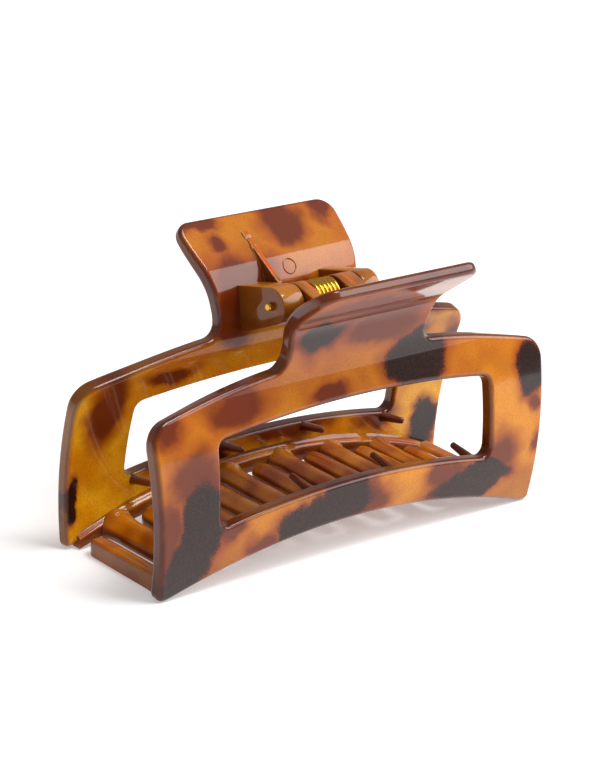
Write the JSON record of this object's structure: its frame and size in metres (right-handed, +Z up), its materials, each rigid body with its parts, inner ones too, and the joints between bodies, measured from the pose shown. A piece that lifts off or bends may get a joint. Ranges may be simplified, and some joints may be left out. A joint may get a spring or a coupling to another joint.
{
  "type": "hair claw clip",
  "caption": "Rectangular open-frame hair claw: two arched framed jaws with interlocking teeth and flared thumb tabs, closed by a coil spring on a hinge pin.",
  "frame": {"origin": "On the floor, midway between the two jaws and midway along the clip; the clip stands on its four jaw ends.", "axes": "+X runs along the jaws and the hinge pin, +Y points from the front jaw to the back jaw, +Z is up towards the thumb tabs."},
  "size_m": [0.0876, 0.0418, 0.0506],
  "materials": {
    "back_jaw_shell": "glossy translucent amber with dark mottling",
    "front_jaw_shell": "glossy translucent amber with dark mottling",
    "spring_wire": "bright drawn wire",
    "pin_metal": "polished"
  },
  "bodies": {
    "back_half": {"back_jaw": "back_jaw_shell", "hinge_pin": "pin_metal", "torsion_spring": "spring_wire"},
    "front_half": {"front_jaw": "front_jaw_shell"}
  },
  "joints": [
    {"name": "jaw_hinge", "type": "hinge", "parent": "back_half", "child": "front_half", "pos_m": [0, 0, 0.0412], "axis": [-1, 0, 0], "range_deg": [0, 65], "stiffness_Nm_per_rad": 0.12, "springref_deg": -34.38, "deforming": ["torsion_spring"]}
  ]
}
